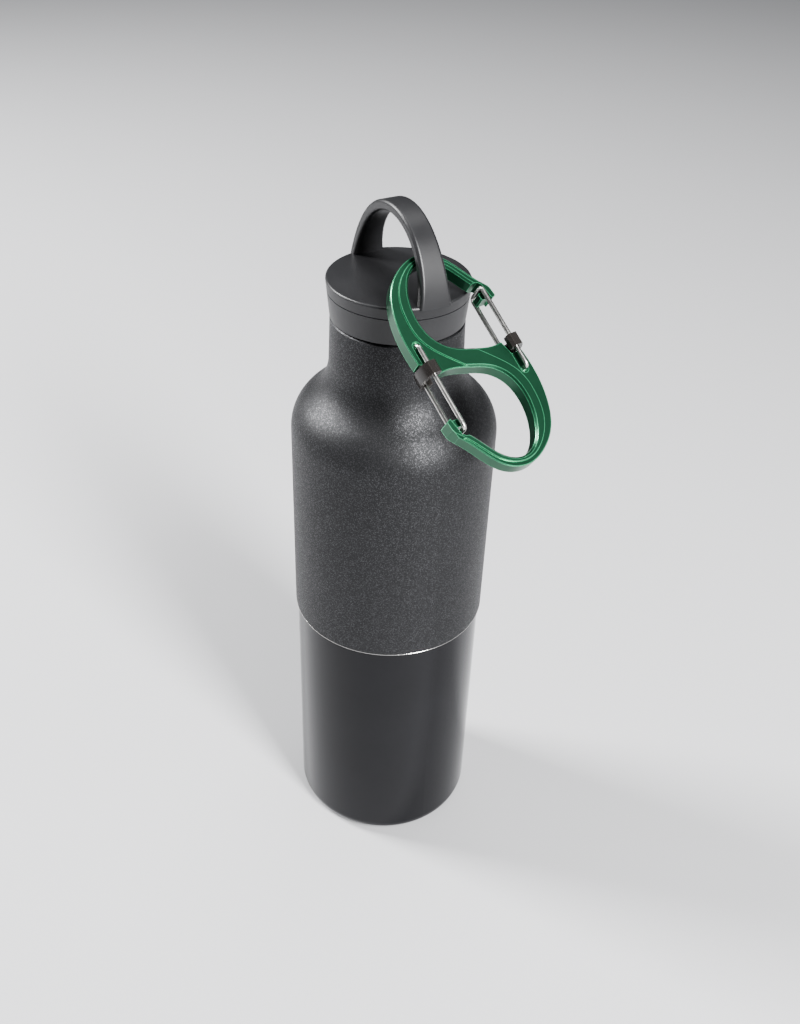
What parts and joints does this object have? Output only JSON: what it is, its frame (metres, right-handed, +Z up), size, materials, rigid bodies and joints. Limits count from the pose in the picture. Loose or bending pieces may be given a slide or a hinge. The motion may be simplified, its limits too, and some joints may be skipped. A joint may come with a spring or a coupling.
{
  "type": "insulated water bottle",
  "caption": "Rigid double-wall steel water bottle with a screw lid, an arched strap handle and an S-shaped carabiner clipped round the handle.",
  "frame": {"origin": "centre of the base, on the plane that the bottle stands on", "axes": "+Z up along the bottle's turning axis; +X towards the handle leg that carries the carabiner; +Y by the right-hand rule, so the handle's arch lies in the XZ plane"},
  "size_m": [0.1105, 0.073, 0.2641],
  "materials": {
    "coated_steel": "fine-textured powder coat, satin",
    "gloss_shell": "polished black",
    "base_steel": "spun satin",
    "seal_glass": "glossy bead",
    "liner_steel": "electropolished satin",
    "foil": "bright foil",
    "getter_metal": "sintered",
    "clip_steel": "plain",
    "lid_plastic": "satin moulded",
    "plug_plastic": "moulded",
    "foam": "cellular",
    "seal_rubber": "silicone",
    "green_anodised": "satin anodised",
    "gate_wire": "polished wire",
    "lock_plastic": "smoky satin"
  },
  "bodies": {
    "bottle": {"upper_shell": "coated_steel", "lower_shell": "gloss_shell", "base_cap": "base_steel", "seal_bead": "seal_glass", "inner_liner": "liner_steel", "heat_foil": "foil", "getter": "getter_metal", "getter_clip": "clip_steel"},
    "gasket": {"lid_seal": "seal_rubber"},
    "lid": {"lid_cover": "lid_plastic", "lid_skirt": "lid_plastic", "lid_plug": "plug_plastic", "plug_foam": "foam", "plug_disc": "liner_steel"},
    "carabiner": {"carabiner_frame": "green_anodised"},
    "upper_gate": {"upper_gate": "gate_wire"},
    "lower_gate": {"lower_gate": "gate_wire"},
    "upper_lock": {"upper_slide_lock": "lock_plastic"},
    "lower_lock": {"lower_slide_lock": "lock_plastic"}
  },
  "joints": [
    {"name": "lid_lift", "type": "slide", "parent": "bottle", "child": "gasket", "axis": [0, 0, 1], "range_m": [0, 0.036]},
    {"name": "lid_turn", "type": "hinge", "parent": "gasket", "child": "lid", "pos_m": [0, 0, 0.23], "axis": [0, 0, 1], "range_deg": [0, 1620]},
    {"name": "carabiner_swing", "type": "hinge", "parent": "lid", "child": "carabiner", "pos_m": [0.021, 0, 0.239], "axis": [0, -1, 0], "range_deg": [0, 24]},
    {"name": "upper_gate_hinge", "type": "hinge", "parent": "carabiner", "child": "upper_gate", "pos_m": [0.0484, 0.01723, 0.22403], "axis": [0.5736, 0, 0.8192], "range_deg": [0, 22], "stiffness_Nm_per_rad": 0.02, "springref_deg": -28.65},
    {"name": "lower_gate_hinge", "type": "hinge", "parent": "carabiner", "child": "lower_gate", "pos_m": [0.0362, -0.01503, 0.23257], "axis": [0.5736, 0, 0.8192], "range_deg": [0, 22], "stiffness_Nm_per_rad": 0.02, "springref_deg": -28.65},
    {"name": "upper_lock_slide", "type": "slide", "parent": "upper_gate", "child": "upper_lock", "axis": [-0.814, -0.1115, 0.57], "range_m": [0, 0.012]},
    {"name": "lower_lock_slide", "type": "slide", "parent": "lower_gate", "child": "lower_lock", "axis": [0.814, 0.1115, -0.57], "range_m": [0, 0.012]}
  ],
  "couplings": [
    {"joint": "lid_lift", "follows": "lid_turn", "m_per_rad": 0.0012732}
  ]
}
